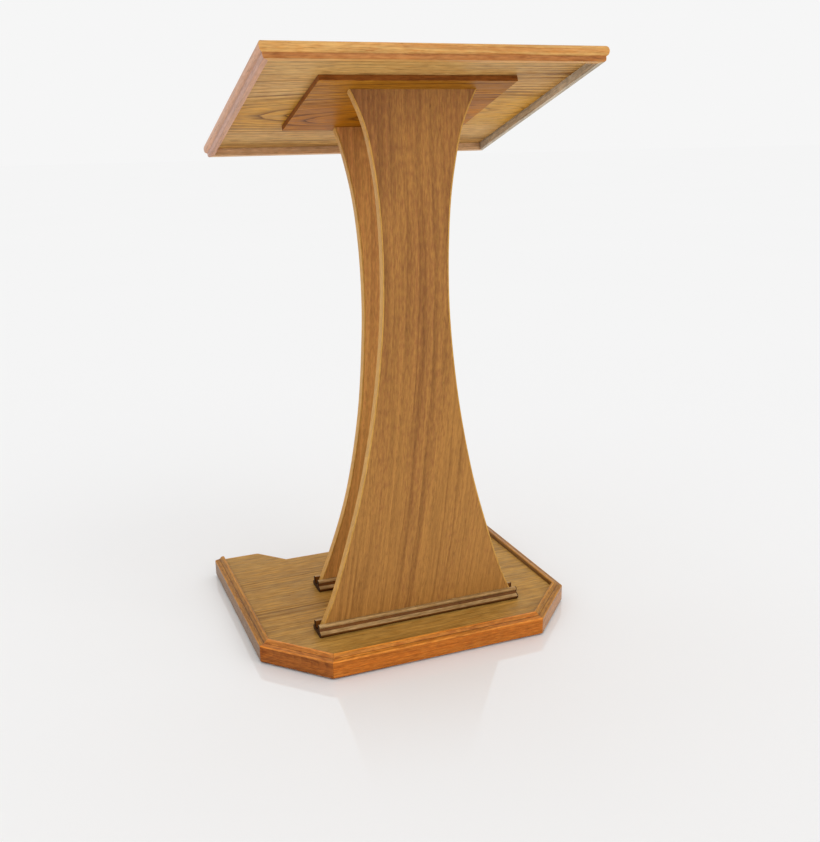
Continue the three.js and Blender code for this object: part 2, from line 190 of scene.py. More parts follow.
# How far this spot was from the pith of a trunk that leans and wanders.
drift = place(oak_grain, "SeparateColor", {0: grain_noise(spot, slow_drift)["Color"]}).outputs
side_drift = grain_math("MULTIPLY", grain_math("SUBTRACT", drift[0], 0.5), got["Waver"])
deep_drift = grain_math("MULTIPLY", grain_math("SUBTRACT", drift[1], 0.5), got["Waver"])
side = grain_math("ADD", grain_math("SUBTRACT", swept, got["Pith Side"]), side_drift)
depth = grain_math("ADD", grain_math("SUBTRACT", at[1], got["Pith Depth"]), deep_drift)
depth = grain_math("ADD", depth, grain_math("MULTIPLY", at[2], got["Lean"]))
side_squared = grain_math("MULTIPLY", side, side)
depth_squared = grain_math("MULTIPLY", depth, depth)
radius = grain_math("SQRT", grain_math("ADD", side_squared, depth_squared))
nearness = grain_math("DIVIDE", radius, got["Heart Reach"])
oak_grain.links.new(between(oak_grain, nearness, 1.3, 0.7), gives["Heart"])

# Good and bad years, and rings with ragged edges. A ring is darkest in its early wood.
years = grain_math("DIVIDE", radius, got["Ring Width"])
uneven = place(
    oak_grain, "TexNoise", {"W": grain_math("MULTIPLY", years, 0.23), "Detail": 1.0},
    noise_dimensions="1D",
).outputs[0]
ragged = grain_noise(spot, ragged_waves, 3)[0]
years = grain_math("ADD", years, grain_math("MULTIPLY", uneven, 1.8))
years = grain_math("ADD", years, grain_math("MULTIPLY", ragged, 0.5))
season = grain_math("FRACT", years)
ring = place(oak_grain, "ValToRGB", {0: season})
ring.color_ramp.elements[0].color = (0, 0, 0, 1)
ring.color_ramp.elements[1].color = (0, 0, 0, 1)
for when, darkness in ((0.12, 1.0), (0.34, 0.35), (0.6, 0.06)):
    stop = ring.color_ramp.elements.new(when)
    stop.color = (darkness, darkness, darkness, 1)
strong = between(oak_grain, grain_noise(spot, strength_waves, 3)[0], 0.36, 0.64, 0.15, 1)
ring = grain_math("MULTIPLY", ring.outputs[0], strong)
ticks = between(oak_grain, grain_noise(spot, tick_waves, 2)[0], 0.5, 0.66)
ticks = grain_math("MULTIPLY", ticks, between(oak_grain, season, 0.1, 0.7, 0.6, 0.3))
oak_grain.links.new(grain_math("MAXIMUM", ring, ticks), gives["Rings"])

# Fibres, open pores, and the mottle and broad bands of the sheet.
dashes = between(oak_grain, grain_noise(spot, dash_waves, 3, 0.65)[0], 0.32, 0.68)
streaks = between(oak_grain, grain_noise(spot, streak_waves, 3, 0.6)[0], 0.32, 0.68)
fibre = grain_math("MULTIPLY", grain_math("ADD", dashes, streaks), 0.5)
oak_grain.links.new(fibre, gives["Fibre"])
pore = between(oak_grain, grain_noise(spot, pore_waves, 1)[0], 0.58, 0.7)
early = between(oak_grain, season, 0.0, 0.45, 1.0, 0.3)
oak_grain.links.new(grain_math("MULTIPLY", pore, early), gives["Pores"])
mottle = grain_math("MULTIPLY", grain_noise(spot, mottle_waves, 3)[0], 0.6)
broad = grain_math("MULTIPLY", grain_noise(spot, broad_waves, 2)[0], 0.4)
faded = grain_math("MULTIPLY", at[2], got["Fade"])
bands = grain_math("ADD", grain_math("ADD", mottle, broad), faded)
oak_grain.links.new(between(oak_grain, bands, 0.36, 0.64), gives["Bands"])

# The colours of stained oak under satin lacquer: pale and deep boards, dark lines at the
# growth rings, open pores, golden heartwood, arrises lightened by wear and a painted highlight, and
# hollows darkened by stain and painted shade.
oak_tone, got, gives = new_group(
    "Oak Tone",
    {"Pale": (0.4, 0.2, 0.06, 1), "Deep": (0.3, 0.14, 0.04, 1), "Line": (0.15, 0.06, 0.02, 1),
     "Rings": 0.0, "Fibre": 0.5, "Pores": 0.0, "Bands": 0.0, "Heart": 0.0,
     "Wear": 0.0, "Hollow": 0.0,
     "Line Strength": 0.4, "Fibre Strength": 0.3, "Wear Strength": 0.5,
     "Hollow Strength": 0.5, "Satin": 0.4},
    {"Color": "Color", "Roughness": "Float", "Height": "Float"},
)


def blend_colours(tree, share, first, second):
    """A mix of two colours, with this share of the second."""
    inputs = {"Factor": share, "A": first, "B": second}
    mixed = place(tree, "Mix", data_type="RGBA")
    for socket in mixed.inputs:
        if socket.enabled and socket.name in inputs:
            value = inputs[socket.name]
            if isinstance(value, bpy.types.NodeSocket):
                tree.links.new(value, socket)
            else:
                socket.default_value = value
    return next(s for s in mixed.outputs if s.enabled)


def shaded(tree, colour, amount):
    """The colour made darker, or lighter where the amount is over 1."""
    return place(tree, "VectorMath", {0: colour, "Scale": amount}, operation="SCALE").outputs[0]


tone_math = partial(reckon, oak_tone)
heart_tint = (1.02, 0.9, 0.42)
pore_shade, highlight_and_wear_gain, hollow_shade = 0.45, 1.9, 0.3

tone = blend_colours(oak_tone, got["Bands"], got["Pale"], got["Deep"])
golden = place(oak_tone, "VectorMath", {0: tone, 1: heart_tint}, operation="MULTIPLY").outputs[0]
tone = blend_colours(oak_tone, got["Heart"], tone, golden)
lined = tone_math("MULTIPLY", got["Rings"], got["Line Strength"])
tone = blend_colours(oak_tone, lined, tone, got["Line"])
fibre = tone_math("MULTIPLY", tone_math("SUBTRACT", got["Fibre"], 0.5), got["Fibre Strength"])
tone = shaded(oak_tone, tone, tone_math("ADD", tone_math("MULTIPLY", fibre, 2.0), 1.0))
pores = tone_math("MULTIPLY", got["Pores"], 0.7)
tone = blend_colours(oak_tone, pores, tone, shaded(oak_tone, tone, pore_shade))
# Arrises made lighter: partly wear, partly a painted highlight.
wear_and_highlight = tone_math("MULTIPLY", got["Wear"], got["Wear Strength"])
tone = blend_colours(oak_tone, wear_and_highlight, tone, shaded(oak_tone, tone, highlight_and_wear_gain))
# Hollows made darker: partly stain, partly painted shade.
hollow = tone_math("MULTIPLY", got["Hollow"], got["Hollow Strength"])
tone = blend_colours(oak_tone, hollow, tone, shaded(oak_tone, tone, hollow_shade))
oak_tone.links.new(tone, gives["Color"])
dull = tone_math("ADD", tone_math("MULTIPLY", got["Pores"], 0.2), fibre)
dull = tone_math("ADD", dull, tone_math("MULTIPLY", got["Rings"], 0.06))
oak_tone.links.new(tone_math("ADD", dull, got["Satin"]), gives["Roughness"])
relief = tone_math("SUBTRACT", fibre, got["Pores"])
relief = tone_math("SUBTRACT", relief, tone_math("MULTIPLY", got["Rings"], 0.3))
oak_tone.links.new(relief, gives["Height"])

# Arrises made lighter in patches: partly wear where hands and cloths have rubbed, partly a painted
# highlight.
edge_wear_and_highlight, got, gives = new_group("Edge Wear And Highlight", {"Place": None, "Reach": 0.0015}, {"Wear": "Float"})
rounded = place(edge_wear_and_highlight, "Bevel", {"Radius": got["Reach"]}, samples=6).outputs[0]
true_normal = place(edge_wear_and_highlight, "NewGeometry").outputs["Normal"]
facing = place(edge_wear_and_highlight, "VectorMath", {0: rounded, 1: true_normal}, operation="DOT_PRODUCT")
edge = between(edge_wear_and_highlight, facing.outputs["Value"], 0.99, 0.86)
patches = stretched_noise(edge_wear_and_highlight, got["Place"], (40, 40, 9), 3)[0]
patches = between(edge_wear_and_highlight, patches, 0.35, 0.6, 0.35, 1)
edge_wear_and_highlight.links.new(reckon(edge_wear_and_highlight, "MULTIPLY", edge, patches), gives["Wear"])

# Darkening where the surface is closed in, read from ambient occlusion: partly stain and dust that
# gather where a cloth can't reach, partly painted shade.
stain_and_painted_shade, got, gives = new_group("Hollow Stain And Painted Shade", {"Reach": 0.012}, {"Hollow": "Float"})
open_air = place(stain_and_painted_shade, "AmbientOcclusion", {"Distance": got["Reach"]}, samples=6)
stain_and_shade = between(stain_and_painted_shade, open_air.outputs["AO"], 0.75, 0.25)
stain_and_painted_shade.links.new(stain_and_shade, gives["Hollow"])


def from_screen(red, green, blue):
    """A colour in linear light from one in 0 to 255."""
    def linear(value):
        value /= 255
        return value / 12.92 if value <= 0.04045 else ((value + 0.055) / 1.055) ** 2.4
    return (linear(red), linear(green), linear(blue), 1)


def oak_finish(name, origin, along, out, colours, saw, fineness=1.0, heart=0.02, bend=0.0,
               fade=0.0, satin=0.4, shine=0.15, lines=0.45, fibres=0.3, wear_and_highlight=0.4, hollows=0.4):
    """Lacquered oak: its grain runs along, and its face looks out from the origin. The
    colours are pale, deep and line. saw is the ring width, how far the pith lies to the
    side and out from the face, its lean and its waver, from the origin. fineness scales
    the pattern, coarser below 1, and heart is how near the pith the wood turns golden.
    satin is how dull the lacquer is, and the rest are strengths from 0 to 1."""
    finish = bpy.data.materials.new(name)
    finish.use_nodes = True
    tree = finish.node_tree
    shader = tree.nodes["Principled BSDF"]
    along = along.normalized()
    across = out.cross(along).normalized()
    turn = Matrix((across, along.cross(across), along))
    setting = {
        "Vector": place(tree, "TexCoord").outputs["Object"],
        "Location": -fineness * (turn @ Vector(origin)), "Rotation": turn.to_euler(),
        "Scale": (fineness, fineness, fineness),
    }
    where = place(tree, "Mapping", setting).outputs[0]
    grain = place(tree, "Group", node_tree=oak_grain)
    tree.links.new(where, grain.inputs["Place"])
    for label, value in zip(("Ring Width", "Pith Side", "Pith Depth", "Lean", "Waver"), saw):
        grain.inputs[label].default_value = value
    grain.inputs["Heart Reach"].default_value = heart
    grain.inputs["Bend"].default_value = bend
    grain.inputs["Fade"].default_value = fade
    tone = place(tree, "Group", node_tree=oak_tone)
    for output in grain.outputs:
        tree.links.new(output, tone.inputs[output.name])
    for label, colour in zip(("Pale", "Deep", "Line"), colours):
        tone.inputs[label].default_value = from_screen(*colour)
    strengths = {"Line": lines, "Fibre": fibres, "Wear": wear_and_highlight, "Hollow": hollows}
    for label, value in strengths.items():
        tone.inputs[label + " Strength"].default_value = value
    tone.inputs["Satin"].default_value = satin
    # Lighter arrises, partly wear and partly a painted highlight.
    lightened_arrises = place(tree, "Group", node_tree=edge_wear_and_highlight)
    tree.links.new(where, lightened_arrises.inputs["Place"])
    tree.links.new(lightened_arrises.outputs[0], tone.inputs["Wear"])
    # Stain and painted shade in the hollows, read from ambient occlusion.
    stain_and_shade_group = place(tree, "Group", node_tree=stain_and_painted_shade)
    tree.links.new(stain_and_shade_group.outputs[0], tone.inputs["Hollow"])
    tree.links.new(tone.outputs["Color"], shader.inputs["Base Color"])
    tree.links.new(tone.outputs["Roughness"], shader.inputs["Roughness"])
    relief = {"Height": tone.outputs["Height"], "Strength": 0.5, "Distance": 0.00025}
    tree.links.new(place(tree, "Bump", relief).outputs[0], shader.inputs["Normal"])
    shader.inputs["Specular IOR Level"].default_value = shine
    return finish


base_veneer = oak_finish(
    "base_veneer", (0, 0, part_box("base_board")[1].z), LEFT_TO_RIGHT, UPRIGHT,
    ((190, 145, 72), (176, 128, 56), (98, 58, 14)), (0.0056, -0.9, -0.02, 0.03, 0.06),
    fineness=0.55, lines=0.62, fibres=0.3, wear_and_highlight=0.3, shine=0.12, hollows=0.3,
)
fitted("base_board_veneered", eased("base_board", 0.0006), [base_veneer], "base_veneer", "base_board")

# ---- base mouldings ----
# Five lengths of solid oak, stained warmer than the board, mitred round its front and
# sides and glued to its edge. Each has an upright face, an eased arris, a narrow ledge
# and a raised bead that stands above the board.

joint = 0.00015  # half the open line at a mitre


def bend(start, pull, end, steps=6):
    """Points along a smooth bend between two points of a profile, without the first."""
    start, pull, end = Vector(start), Vector(pull), Vector(end)
    shares = [i / steps for i in range(1, steps + 1)]
    return [start * (1 - t) ** 2 + pull * 2 * t * (1 - t) + end * t * t for t in shares]


def moulding_run(profile, start, end, across, up, cuts=(0.0, 0.0), coat=None, end_coat=0):
    """A length of moulding. The profile's X goes across and its Y goes up, in mm, and
    each cut is how far that end slopes back for each unit across. coat tells which of
    the piece's finishes goes on a place of the profile."""
    start, end = Vector(start), Vector(end)
    along = (end - start).normalized()
    shape = bmesh.new()
    ends = []
    for origin, way, slope in ((start, along, cuts[0]), (end, -along, cuts[1])):
        ends.append([
            shape.verts.new(
                origin + across * (x / 1000) + up * (y / 1000) + way * (joint + x / 1000 * slope)
            )
            for x, y in profile
        ])
    first, last = ends
    caps = [shape.faces.new(first), shape.faces.new(last)]
    for i, corner in enumerate(first):
        side = shape.faces.new((corner, first[i - 1], last[i - 1], last[i]))
        (x, y), (x_before, y_before) = profile[i], profile[i - 1]
        if coat:
            side.material_index = coat((x + x_before) / 2, (y + y_before) / 2)
    for cap, slope in zip(caps, cuts):
        cap.material_index = end_coat if slope == 0 else 0
    rim = [edge for cap in caps for edge in cap.edges]
    bmesh.ops.bevel(
        shape, geom=rim, offset=0.0003, segments=1, affect="EDGES", clamp_overlap=True,
        material=-1,
    )
    return shape


left_low, left_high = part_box("base_moulding_left")
right_low, right_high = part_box("base_moulding_right")
front_low, front_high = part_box("base_moulding_front")
base_bottom, base_crest = left_low.z * 1000, left_high.z * 1000
board_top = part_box("base_board")[1].z * 1000
base_corners = [
    (left_low.x, left_high.y), (left_low.x, left_low.y - joint),
    (front_low.x - joint, front_low.y), (front_high.x + joint, front_low.y),
    (right_high.x, right_low.y - joint), (right_high.x, right_high.y),
]
arris = 39  # the height of the upright face
base_profile = [(0, base_bottom + 0.8), (0.8, base_bottom), (23.5, base_bottom), (24, board_top)]
base_profile += [(23.7, board_top + 1.2), (22, base_crest - 1.6)]
base_profile += bend((22, base_crest - 1.6), (21.2, base_crest), (19.5, base_crest), 4)
base_profile += bend((18, base_crest), (14.8, base_crest - 0.4), (12.6, base_crest - 3.2), 6)
base_profile += bend((12.6, base_crest - 3.2), (11.6, arris + 1.3), (9.8, arris + 1), 5)
base_profile += [(7, arris + 0.6)]
base_profile += bend((2.8, arris), (0, arris), (0, arris - 2.8), 6)

grey_face = ((146, 110, 78), (126, 94, 66), (88, 58, 36))
golden_top = ((172, 118, 44), (150, 96, 32), (104, 60, 14))
straight = (0.0036, 0.9, 0.05, 0.02, 0.02)
# For each side: the face's colours, the top's colours, the saw and the lines' strength.
base_sides = {
    "left": (grey_face, golden_top, straight, 0.5),
    "left_chamfer": (
        ((170, 98, 36), (146, 78, 26), (96, 42, 10)),
        ((196, 124, 54), (170, 98, 38), (120, 60, 18)),
        (0.0075, -0.012, -0.012, 0.3, 0.02), 0.9,
    ),
    "front": (
        ((190, 106, 30), (172, 90, 22), (230, 152, 64)),
        ((206, 132, 52), (178, 102, 34), (140, 76, 22)),
        (0.0042, 0.5, 0.05, 0.02, 0.03), 0.6,
    ),
    "right_chamfer": (((190, 140, 98), (168, 118, 80), (124, 78, 44)), golden_top, straight, 0.5),
    "right": (((170, 124, 80), (150, 104, 62), (104, 64, 32)), golden_top, straight, 0.5),
}


def base_coat(x, y):
    """0 is the upright face, 1 the arris and crest, lighter as wear and painted highlight, 2 the top
    and 3 the hollows, darker as painted shade.
    """
    face_top = arris - 2.4
    on_arris = x < 3.2 and y > face_top
    on_crest = 15.5 < x < 20.4 and y > base_crest - 0.6
    beside_board = x > 22.8
    beside_bead = 8.6 < x < 10.9 and y > arris
    if beside_board or beside_bead:
        return 3
    if on_arris or on_crest:
        return 1
    return 0 if y < face_top else 2


def bearing(start, end):
    """The way from one corner to the next, as a turn from left to right."""
    return math.atan2(end[1] - start[1], end[0] - start[0])


# The arris and crest take the top's colours made lighter, partly wear and partly a painted highlight;
# the hollows and square ends take them made darker, as painted shade.
lighter, darker = 1.15, 0.72
last = len(base_sides) - 1
for i, (side, look) in enumerate(base_sides.items()):
    start, end = base_corners[i], base_corners[i + 1]
    here = bearing(start, end)
    before = bearing(base_corners[i - 1], start) if i > 0 else here
    after = bearing(end, base_corners[i + 2]) if i < last else here
    along = Vector((math.cos(here), math.sin(here), 0))
    inward = Vector((-along.y, along.x, 0))
    face, top, saw, lines = look
    arris_highlight_colours = [tuple(min(255, channel * lighter) for channel in colour) for colour in top]
    shade_colours = [tuple(channel * darker for channel in colour) for colour in top]
    finishes = [
        oak_finish(
            f"base_{part}_{side}", start + (arris / 1000,), along, facing, colours, saw,
            lines=strength, satin=0.36, wear_and_highlight=0.35, fibres=0.34, hollows=0.4,
        )
        for part, facing, colours, strength in (
            ("face", -inward, face, lines), ("arris", UPRIGHT, arris_highlight_colours, 0.3),
            ("top", UPRIGHT, top, 0.45), ("hollow", UPRIGHT, shade_colours, 0.45),
        )
    ]
    cuts = (math.tan((here - before) / 2), math.tan((after - here) / 2))
    run = moulding_run(
        base_profile, (*start, 0), (*end, 0), inward, UPRIGHT, cuts, base_coat, end_coat=3,
    )
    node = "base_moulding_" + side
    fitted(node + "_run", run, finishes, "base_oak", node)

# ---- rear lippings ----
# Strips of solid oak, 3 mm thick, glued to the board's bare edge at the back and round
# the toe notch, and flushed off level with the veneer.

lipping_colours = ((210, 160, 82), (196, 144, 68), (158, 106, 44))
for node in (
    "base_rear_lipping_left", "base_rear_lipping_right",
    "notch_lipping_left", "notch_lipping_middle", "notch_lipping_right",
):
    low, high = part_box(node)
    along = Vector((high.x - low.x, 0, 0))
    if node in ("notch_lipping_left", "notch_lipping_right"):
        along.y = (high.y - low.y) * (1 if low.x > 0 else -1)
    out = along.cross(UPRIGHT)
    finish = oak_finish(
        node + "_oak", low, along, out.normalized(), lipping_colours,
        (0.004, 0.2, 0.03, 0.02, 0.02),
    )
    fitted(node + "_strip", eased(node, 0.0005), [finish], "lipping_oak", node)

# ---- glides ----
# Six brown nylon feet, pushed into holes under the board, on which the lectern stands.
# Each is a moulded disc with a rounded rim and a nail's stem.


def turned(profile, segments=40):
    """A solid of revolution about Z from (radius, height) points, in mm."""
    shape = bmesh.new()
    rings = []
    for r, z in profile:
        if r == 0:
            rings.append([shape.verts.new((0, 0, z / 1000))])
            continue
        turns = [math.tau * k / segments for k in range(segments)]
        rings.append([
            shape.verts.new((r / 1000 * math.cos(a), r / 1000 * math.sin(a), z / 1000))
            for a in turns
        ])
    for low, high in zip(rings, rings[1:]):
        for k in range(segments):
            if len(low) == 1:
                corners = (low[0], high[k], high[k - 1])
            elif len(high) == 1:
                corners = (low[k - 1], low[k], high[0])
            else:
                corners = (low[k - 1], low[k], high[k], high[k - 1])
            shape.faces.new(corners)
    return shape


nylon = bpy.data.materials.new("brown_nylon")
nylon.use_nodes = True
tree = nylon.node_tree
shader = tree.nodes["Principled BSDF"]
where = place(tree, "TexCoord").outputs["Object"]
clouds = stretched_noise(tree, where, (180, 180, 180), 3)[0]
dark_brown, brown = from_screen(44, 38, 33), from_screen(62, 54, 47)
colour = blend_colours(tree, between(tree, clouds, 0.35, 0.65), dark_brown, brown)
tree.links.new(colour, shader.inputs["Base Color"])
tree.links.new(between(tree, clouds, 0.3, 0.7, 0.42, 0.6), shader.inputs["Roughness"])
spark = stretched_noise(tree, where, (1800, 1800, 1800), 2)[0]
bump = place(tree, "Bump", {"Height": spark, "Strength": 0.3, "Distance": 0.0002})
tree.links.new(bump.outputs[0], shader.inputs["Normal"])

glide_count = 6
for number in range(1, glide_count + 1):
    low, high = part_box(f"glide_{number}")
    reach = (high.x - low.x) / 2 * 1000
    body, stem = 12.7, high.z * 1000
    foot = [(0, 0.6), (3.4, 0.6), (4, 0), (reach - 4.2, 0)]
    foot += bend((reach - 4.2, 0), (reach - 1, 0.4), (reach - 0.4, 3), 5)
    foot += [(reach, 4.4), (reach, body - 1.4), (reach - 0.4, body - 0.4), (reach - 1.4, body)]
    foot += [(4.4, body), (3.5, body + 0.6), (3.5, stem - 1.2), (2.4, stem), (0, stem)]
    shape = turned(foot)
    hole = Vector(((low.x + high.x) / 2, (low.y + high.y) / 2, 0))
    bmesh.ops.translate(shape, verts=shape.verts, vec=hole)
    fitted(f"glide_{number}_foot", shape, [nylon], "nylon", f"glide_{number}")

# ---- screws ----
# Zinc-plated countersunk wood screws with cross recesses. Five come up through the base
# into the panels, and nine fix the cleats to the panels and up into the desk.

zinc = bpy.data.materials.new("zinc_plate")
zinc.use_nodes = True
tree = zinc.node_tree
shader = tree.nodes["Principled BSDF"]
where = place(tree, "TexCoord").outputs["Object"]
clouds = stretched_noise(tree, where, (300, 300, 300), 3)[0]
bright, yellowed = from_screen(196, 194, 184), from_screen(172, 166, 146)
colour = blend_colours(tree, between(tree, clouds, 0.35, 0.65), bright, yellowed)
tree.links.new(colour, shader.inputs["Base Color"])
tree.links.new(between(tree, clouds, 0.3, 0.7, 0.24, 0.42), shader.inputs["Roughness"])
shader.inputs["Metallic"].default_value = 1.0


def screw(length):
    """A wood screw along Z with its head's face at the origin and its point below. The
    length and every size in it are in mm."""
    around, pitch, steps_per_turn = 24, 2.4, 6
    core, thread_height, shank_share = 1.8, 0.8, 0.35
    slot_half, slot_reach, recess, flat_radius = 0.62, 2.6, 2.1, 4.2
    shape = bmesh.new()
    rings = [(r, 0.0) for r in (0.45, 0.9, 1.35, 1.8, 2.25, 2.7, 3.4, flat_radius)]
    rings += [(4.5, -0.12), (4.6, -0.4), (4.6, -0.9), (2.6, -4.0), (2.5, -length * shank_share)]
    thread_top, thread_bottom = -length * shank_share - 0.4, -length + 4
    turns = int((thread_top - thread_bottom) / pitch * steps_per_turn)
    drop = (thread_top - thread_bottom) / turns
    rings += [(None, thread_top - drop * i) for i in range(turns + 1)]
    rings += [(1.5, -length + 3), (0.8, -length + 1), (0.1, -length)]
    previous = None
    middle = shape.verts.new((0, 0, -recess / 1000))
    for r, z in rings:
        ring = []
        for k in range(around):
            a = math.tau * k / around
            if r is None:
                crest = (z / pitch + k / around) % 1
                reach = core + thread_height * max(0.0, 1 - abs(crest - 0.5) * 4)
                sunk = z
            else:
                reach, sunk = r, z
                x, y = abs(r * math.cos(a)), abs(r * math.sin(a))
                if z == 0 and min(x, y) < slot_half and max(x, y) < slot_reach:
                    sunk = -recess * (1 - max(x, y) / flat_radius)
            corner = Vector((reach * math.cos(a), reach * math.sin(a), sunk)) / 1000
            ring.append(shape.verts.new(corner))
        for k in range(around):
            if previous is None:
                shape.faces.new((middle, ring[k - 1], ring[k]))
            else:
                shape.faces.new((previous[k - 1], ring[k - 1], ring[k], previous[k]))
        previous = ring
    shape.faces.new(previous)
    return shape


desk_vertices = [v.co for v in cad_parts["desk_board"].data.vertices]
desk_top_edge = max(desk_vertices, key=lambda co: co.z)
desk_foot_edge = max(desk_vertices, key=lambda co: co.y + co.z)
desk_slope = desk_foot_edge - desk_top_edge
desk_slope = Vector((0, desk_slope.y, desk_slope.z)).normalized()
desk_up = LEFT_TO_RIGHT.cross(desk_slope)
screw_rows = (
    ("front_panel_screw", 3, UPRIGHT), ("rear_panel_screw", 2, UPRIGHT),
    ("front_cleat_side_screw", 2, -FRONT_TO_BACK), ("front_cleat_up_screw", 3, desk_up),
    ("rear_cleat_side_screw", 2, FRONT_TO_BACK), ("rear_cleat_up_screw", 2, desk_up),
)
for row, count, driven in screw_rows:
    for number in range(1, count + 1):
        node = f"{row}_{number}"
        corners = [v.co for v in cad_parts[node].data.vertices]
        reach = [co.dot(driven) for co in corners]
        low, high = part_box(node)
        middle = (low + high) / 2
        head = middle + driven * (min(reach) - middle.dot(driven))
        shape = screw((max(reach) - min(reach)) * 1000)
        turn = (-UPRIGHT).rotation_difference(driven).to_matrix().to_4x4()
        bmesh.ops.transform(shape, matrix=Matrix.Translation(head) @ turn, verts=shape.verts)
        fitted(node + "_threaded", shape, [zinc], "zinc_steel", node)

# ---- hourglass panels ----
# Two 18 mm panels with oak veneer on both faces, its grain upright. Each is cut to an
# hourglass, and a 3 mm strip of solid oak is bent round and glued to each curved edge.

# Painted light: the rear panel's front face, in the shade between the panels, is coloured much paler
# than the front panel; its rear face takes the front panel's colours.
panel_colours_and_painted_light = {
    "front": ((178, 125, 62), (157, 103, 55), (98, 54, 22)),
    "rear": ((220, 162, 88), (200, 137, 78), (140, 84, 42)),
}
panel_saw = (0.026, 0.425, 0.07, 0.0, 0.05)
sweep, sweep_from = 0.1, 0.9  # the grain sweeps aside below this height
for side, colours in panel_colours_and_painted_light.items():
    node = side + "_panel"
    panel_low, panel_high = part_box(node)
    # fade colours each panel paler the lower it stands and a little deeper near its top: painted
    # light and shade along the height.
    finishes = [
        oak_finish(
            f"{side}_panel_{face}_veneer", (0, y, sweep_from), UPRIGHT, out, sheet, panel_saw,
            bend=swept_aside, fade=0.15, lines=0.42, fibres=0.2, wear_and_highlight=0.3, hollows=0.15,
        )
        for face, y, out, sheet, swept_aside in (
            ("front", panel_low.y, -FRONT_TO_BACK, colours, sweep),
            ("rear", panel_high.y, FRONT_TO_BACK, panel_colours_and_painted_light["front"], -sweep),
        )
    ]
    board = eased(node, 0.0004)
    board.normal_update()
    for face in board.faces:
        face.material_index = 1 if face.normal.y > 0.5 else 0
    fitted(node + "_board", board, finishes, "panel_veneer", node)
    strip_finish = oak_finish(
        side + "_strip_oak", (0, panel_low.y, 0), UPRIGHT, LEFT_TO_RIGHT, lipping_colours,
        (0.003, 0.15, 0.03, 0.02, 0.01), lines=0.22, fibres=0.16, wear_and_highlight=0.3, hollows=0.1,
    )
    for hand in ("left", "right"):
        node = f"{side}_panel_lipping_{hand}"
        fitted(node + "_strip", eased(node, 0.0006), [strip_finish], "lipping_oak", node)

# ---- shoe rails ----
# Four lengths of darker oak moulding that hold the panels' feet, one along each face,
# glued and pinned to the base. Each has a rounded foot, a deep cove and a top bead. A
# thin, very dark piece, cut to the outline of a pair of rails, covers their ends.

rail_profile = [(0, 0), (13, 0), (13, 1.6)]
rail_profile += bend((13, 1.6), (16, 2.2), (16, 5.4), 6) + bend((16, 5.4), (16, 8.8), (12, 9.4), 6)
rail_profile += [(11, 10.4)] + bend((11, 10.4), (6.5, 11.2), (5.5, 16), 8) + [(5.5, 16.8)]
rail_profile += bend((5.5, 16.8), (8.2, 17.4), (7.7, 20), 5)
rail_profile += bend((7.7, 20), (7.2, 23), (3.5, 23), 5) + [(0, 23)]
# For each part of a rail: its colours, the lines' strength and how dull it is.
rail_coats = {
    "shoe_oak": (((196, 160, 108), (170, 130, 76), (84, 50, 20)), 0.8, 0.4),
    # Painted shade: the cove and the foot take a dark colour where shadow falls.
    "shoe_painted_shade": (((128, 78, 28), (104, 62, 20), (64, 34, 8)), 0.4, 0.45),
    "shoe_end": (((60, 34, 17), (47, 25, 11), (30, 14, 5)), 0.4, 0.6),
}


def rail_shaded_zone(x, y):
    """0 is the beads, and 1 the cove and the foot, coloured dark as painted shade where shadow falls.
    """
    return 1 if 11 < y < 15.8 or y < 6.6 else 0


for panel in ("front", "rear"):
    for face in ("front", "rear"):
        node = f"{panel}_panel_rail_{face}"
        low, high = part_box(node)
        outward = FRONT_TO_BACK if face == "rear" else -FRONT_TO_BACK
        glued = low.y if face == "rear" else high.y
        finishes = [
            oak_finish(
                f"{name}_{panel}_{face}", (low.x, glued, low.z), LEFT_TO_RIGHT, UPRIGHT, colours,
                (0.0034, 0.3, 0.04, 0.03, 0.02), lines=strength, satin=satin, hollows=0.8,
            )
            for name, (colours, strength, satin) in rail_coats.items()
        ]
        run = moulding_run(
            rail_profile, (low.x - joint, glued, low.z), (high.x + joint, glued, low.z),
            outward, UPRIGHT, coat=rail_shaded_zone, end_coat=2,
        )
        fitted(node + "_run", run, finishes, "shoe_oak", node)

slip_thickness = 0.0016
throat = [(0.3, 9.4), (1.6, 7.8)]  # the slip's floor, between the rails
for panel in ("front", "rear"):
    ahead, behind = (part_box(f"{panel}_panel_rail_{face}") for face in ("front", "rear"))
    gap = (behind[0].y - ahead[1].y) * 1000
    outline = [(-x, y) for x, y in rail_profile[1:]]
    outline += throat + [(gap - x, y) for x, y in reversed(throat)]
    outline += [(gap + x, y) for x, y in reversed(rail_profile[1:])]
    for hand, end, out in (("left", ahead[0].x, -1), ("right", ahead[1].x, 1)):
        inner = Vector((end, ahead[1].y, ahead[0].z))
        outer = inner + LEFT_TO_RIGHT * (out * slip_thickness)
        slip = oak_finish(
            f"shoe_slip_{panel}_{hand}", outer, FRONT_TO_BACK, LEFT_TO_RIGHT * out,
            rail_coats["shoe_end"][0], (0.003, 0.3, 0.04, 0.03, 0.02), satin=0.5, hollows=0.2,
        )
        run = moulding_run(outline, inner, outer, FRONT_TO_BACK, UPRIGHT)
        fitted(f"{panel}_shoe_slip_{hand}", run, [slip], "shoe_oak")

# ---- cleats ----
# Two planed blocks, hidden under the desk, that tie the panels' tops to the mounting
# plate. Their tops are sawn to the desk's slope, and they are left unlacquered.

